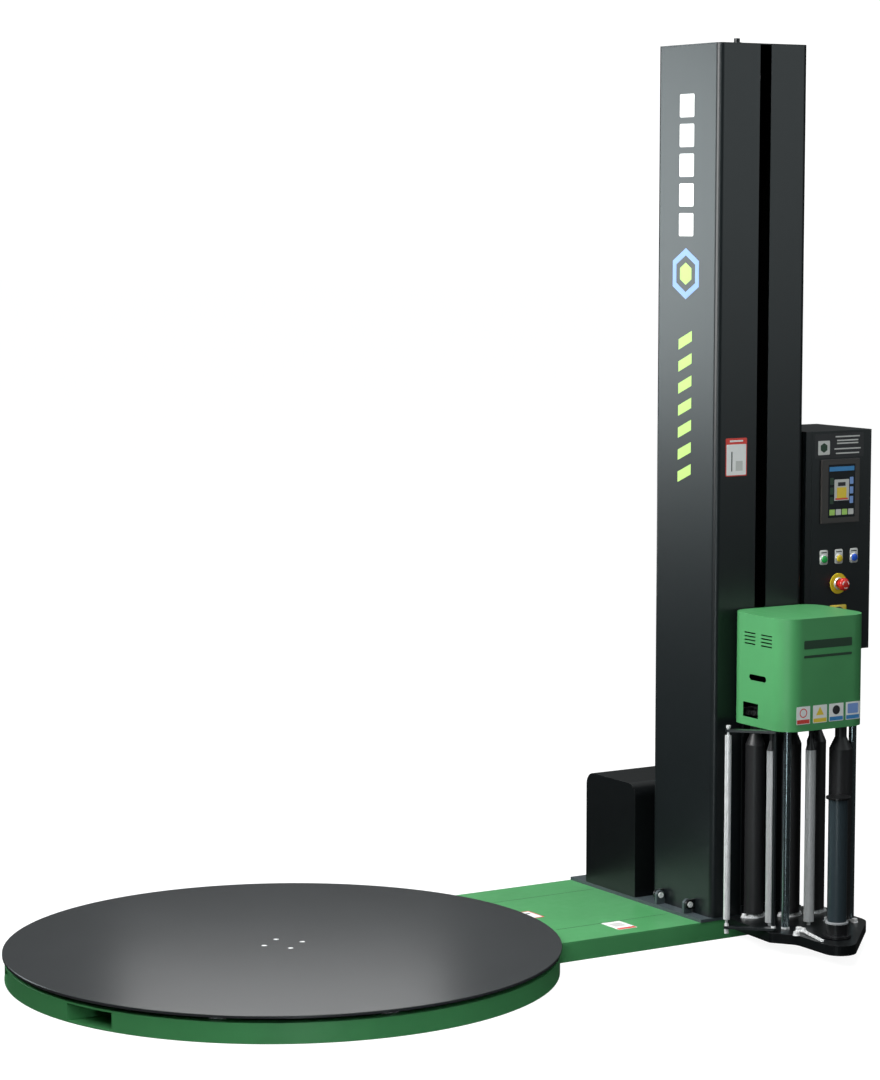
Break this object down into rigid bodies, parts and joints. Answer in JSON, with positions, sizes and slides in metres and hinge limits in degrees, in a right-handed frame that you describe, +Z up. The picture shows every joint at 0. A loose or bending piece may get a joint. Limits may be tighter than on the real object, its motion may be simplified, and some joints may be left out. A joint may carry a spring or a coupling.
{
  "type": "turntable pallet wrapper",
  "caption": "Floor-standing stretch wrapping machine: a low turntable for a pallet, joined by a deck to a mast whose film carriage rides up and down beside the load.",
  "frame": {"origin": "on the floor, under the middle of the turntable", "axes": "+X from the turntable to the mast, +Y away from the film carriage, +Z up"},
  "size_m": [2.7413, 1.6888, 2.754],
  "materials": {
    "green_paint": "semi-gloss powder coat",
    "mast_paint": "satin anthracite powder coat",
    "table_paint": "satin",
    "plate_paint": "satin grey",
    "black_paint": "satin black",
    "machine_steel": "turned",
    "zinc_plate": "bright zinc",
    "motor_paint": "satin blue grey",
    "chain_steel": "oiled",
    "nylon": "moulded",
    "belt_rubber": "matte",
    "roller_rubber": "ground matte",
    "roller_steel": "satin drawn tube",
    "panel_plastic": "moulded",
    "collar_metal": "satin",
    "green_plastic": "gloss",
    "yellow_plastic": "gloss",
    "blue_plastic": "gloss",
    "red_plastic": "gloss"
  },
  "bodies": {
    "base": {"ring_frame": "green_paint", "deck_frame": "green_paint", "deck_plate_left": "green_paint", "deck_plate_centre": "green_paint", "deck_plate_right": "green_paint", "fork_channel_left": "green_paint", "fork_channel_right": "green_paint", "centre_post": "machine_steel", "wheel_brackets": "zinc_plate", "wheel_axles": "machine_steel", "drive_gearmotor": "motor_paint", "drive_chain": "chain_steel", "drive_cover": "black_paint", "mast_base_plate": "plate_paint", "fold_lugs": "plate_paint", "fold_pins": "zinc_plate"},
    "turntable": {"turntable_disc": "table_paint", "turntable_hub": "machine_steel", "turntable_screws": "zinc_plate"},
    "drive_sprocket": {"drive_sprocket": "machine_steel"},
    "support_wheel_1": {"support_wheel_1": "nylon"},
    "support_wheel_2": {"support_wheel_2": "nylon"},
    "support_wheel_3": {"support_wheel_3": "nylon"},
    "support_wheel_4": {"support_wheel_4": "nylon"},
    "support_wheel_5": {"support_wheel_5": "nylon"},
    "support_wheel_6": {"support_wheel_6": "nylon"},
    "mast": {"mast_shell": "mast_paint", "mast_cap": "mast_paint", "mast_fold_lugs": "black_paint", "guide_rails": "machine_steel", "lift_gearmotor": "motor_paint", "lift_belt": "belt_rubber", "control_cabinet": "mast_paint"},
    "lift_drive_pulley": {"lift_drive_pulley": "machine_steel"},
    "lift_top_pulley": {"lift_top_pulley": "machine_steel"},
    "cabinet_door": {"cabinet_door": "mast_paint", "touch_panel": "panel_plastic", "button_collars": "collar_metal"},
    "start_button": {"start_button": "green_plastic"},
    "reset_button": {"reset_button": "yellow_plastic"},
    "home_button": {"home_button": "blue_plastic"},
    "emergency_stop": {"emergency_stop": "red_plastic"},
    "main_switch": {"main_switch": "red_plastic"},
    "carriage": {"carriage_bracket": "black_paint", "carriage_base": "black_paint", "carriage_top_plate": "black_paint", "carriage_cover": "green_paint", "carriage_posts": "mast_paint", "carriage_nuts": "zinc_plate", "stretch_gearmotor": "motor_paint"},
    "second_stretch_roller": {"second_stretch_roller": "roller_rubber"},
    "first_stretch_roller": {"first_stretch_roller": "roller_rubber"},
    "back_idler_roller": {"back_idler_roller": "roller_rubber"},
    "nip_roller": {"nip_roller": "roller_rubber"},
    "left_idler_roller": {"left_idler_roller": "roller_steel"},
    "front_idler_roller": {"front_idler_roller": "roller_steel"},
    "film_mandrel": {"film_mandrel": "mast_paint"},
    "dancer_arm": {"dancer_arm": "mast_paint"},
    "dancer_roller": {"dancer_roller": "roller_steel"},
    "brake_lever": {"brake_lever": "zinc_plate"}
  },
  "joints": [
    {"name": "turntable_spin", "type": "hinge", "parent": "base", "child": "turntable", "pos_m": [0, 0, 0.08], "axis": [0, 0, 1], "continuous": true},
    {"name": "drive_spin", "type": "hinge", "parent": "base", "child": "drive_sprocket", "pos_m": [1.43, 0.133, 0.035], "axis": [0, 0, 1], "continuous": true},
    {"name": "wheel_1_spin", "type": "hinge", "parent": "base", "child": "support_wheel_1", "pos_m": [-0.51189, 0.56851, 0.0487], "axis": [-0.6691, 0.7431, 0], "continuous": true},
    {"name": "wheel_2_spin", "type": "hinge", "parent": "base", "child": "support_wheel_2", "pos_m": [-0.07996, 0.76081, 0.0487], "axis": [-0.1045, 0.9945, 0], "continuous": true},
    {"name": "wheel_3_spin", "type": "hinge", "parent": "base", "child": "support_wheel_3", "pos_m": [0.51189, 0.56851, 0.0487], "axis": [0.6691, 0.7431, 0], "continuous": true},
    {"name": "wheel_4_spin", "type": "hinge", "parent": "base", "child": "support_wheel_4", "pos_m": [0.51189, -0.56851, 0.0487], "axis": [0.6691, -0.7431, 0], "continuous": true},
    {"name": "wheel_5_spin", "type": "hinge", "parent": "base", "child": "support_wheel_5", "pos_m": [-0.07996, -0.76081, 0.0487], "axis": [-0.1045, -0.9945, 0], "continuous": true},
    {"name": "wheel_6_spin", "type": "hinge", "parent": "base", "child": "support_wheel_6", "pos_m": [-0.51189, -0.56851, 0.0487], "axis": [-0.6691, -0.7431, 0], "continuous": true},
    {"name": "mast_fold", "type": "hinge", "parent": "base", "child": "mast", "pos_m": [1.281, -0.189, 0.099], "axis": [0, 1, 0], "range_deg": [-90, 0]},
    {"name": "carriage_lift", "type": "slide", "parent": "mast", "child": "carriage", "axis": [0, 0, 1], "range_m": [0, 1.65]},
    {"name": "lift_drive_pulley_spin", "type": "hinge", "parent": "mast", "child": "lift_drive_pulley", "pos_m": [1.474, -0.275, 0.16], "axis": [-1, 0, 0], "range_deg": [0, 2280]},
    {"name": "lift_top_pulley_spin", "type": "hinge", "parent": "mast", "child": "lift_top_pulley", "pos_m": [1.474, -0.275, 2.64], "axis": [-1, 0, 0], "range_deg": [0, 2280]},
    {"name": "door_swing", "type": "hinge", "parent": "mast", "child": "cabinet_door", "pos_m": [1.912, -0.345, 1.2], "axis": [0, 0, 1], "range_deg": [0, 110]},
    {"name": "start_button_push", "type": "slide", "parent": "cabinet_door", "child": "start_button", "axis": [0, 1, 0], "range_m": [0, 0.004], "stiffness_N_per_m": 600},
    {"name": "reset_button_push", "type": "slide", "parent": "cabinet_door", "child": "reset_button", "axis": [0, 1, 0], "range_m": [0, 0.004], "stiffness_N_per_m": 600},
    {"name": "home_button_push", "type": "slide", "parent": "cabinet_door", "child": "home_button", "axis": [0, 1, 0], "range_m": [0, 0.004], "stiffness_N_per_m": 600},
    {"name": "emergency_stop_push", "type": "slide", "parent": "cabinet_door", "child": "emergency_stop", "axis": [0, 1, 0], "range_m": [0, 0.006]},
    {"name": "main_switch_turn", "type": "hinge", "parent": "cabinet_door", "child": "main_switch", "pos_m": [1.782, -0.36, 0.978], "axis": [0, 1, 0], "range_deg": [0, 90]},
    {"name": "second_stretch_roller_spin", "type": "hinge", "parent": "carriage", "child": "second_stretch_roller", "pos_m": [1.53178, -0.45601, 0.34], "axis": [0, 0, 1], "continuous": true},
    {"name": "first_stretch_roller_spin", "type": "hinge", "parent": "carriage", "child": "first_stretch_roller", "pos_m": [1.425, -0.412, 0.34], "axis": [0, 0, 1], "continuous": true},
    {"name": "back_idler_roller_spin", "type": "hinge", "parent": "carriage", "child": "back_idler_roller", "pos_m": [1.626, -0.458, 0.34], "axis": [0, 0, 1], "continuous": true},
    {"name": "nip_roller_spin", "type": "hinge", "parent": "carriage", "child": "nip_roller", "pos_m": [1.601, -0.6075, 0.34], "axis": [0, 0, 1], "continuous": true},
    {"name": "left_idler_roller_spin", "type": "hinge", "parent": "carriage", "child": "left_idler_roller", "pos_m": [1.398, -0.53, 0.34], "axis": [0, 0, 1], "continuous": true},
    {"name": "front_idler_roller_spin", "type": "hinge", "parent": "carriage", "child": "front_idler_roller", "pos_m": [1.507, -0.581, 0.34], "axis": [0, 0, 1], "continuous": true},
    {"name": "film_mandrel_spin", "type": "hinge", "parent": "carriage", "child": "film_mandrel", "pos_m": [1.475, -0.757, 0.3], "axis": [0, 0, 1], "continuous": true},
    {"name": "dancer_swing", "type": "hinge", "parent": "carriage", "child": "dancer_arm", "pos_m": [1.358, -0.598, 0.38], "axis": [0, 0, 1], "range_deg": [-35, 25], "stiffness_Nm_per_rad": 8},
    {"name": "dancer_roller_spin", "type": "hinge", "parent": "dancer_arm", "child": "dancer_roller", "pos_m": [1.256, -0.5, 0.38], "axis": [0, 0, 1], "continuous": true},
    {"name": "brake_lever_swing", "type": "hinge", "parent": "carriage", "child": "brake_lever", "pos_m": [1.428, -0.655, 0.072], "axis": [0, 0, 1], "range_deg": [-15, 10]}
  ],
  "couplings": [
    {"joint": "drive_spin", "follows": "turntable_spin", "ratio": 3.6923},
    {"joint": "wheel_1_spin", "follows": "turntable_spin", "ratio": -33.261},
    {"joint": "wheel_2_spin", "follows": "turntable_spin", "ratio": -33.261},
    {"joint": "wheel_3_spin", "follows": "turntable_spin", "ratio": -33.261},
    {"joint": "wheel_4_spin", "follows": "turntable_spin", "ratio": -33.261},
    {"joint": "wheel_5_spin", "follows": "turntable_spin", "ratio": -33.261},
    {"joint": "wheel_6_spin", "follows": "turntable_spin", "ratio": -33.261},
    {"joint": "lift_drive_pulley_spin", "follows": "carriage_lift", "rad_per_m": 23.923},
    {"joint": "lift_top_pulley_spin", "follows": "carriage_lift", "rad_per_m": 23.923},
    {"joint": "first_stretch_roller_spin", "follows": "second_stretch_roller_spin", "ratio": -1.8519}
  ]
}
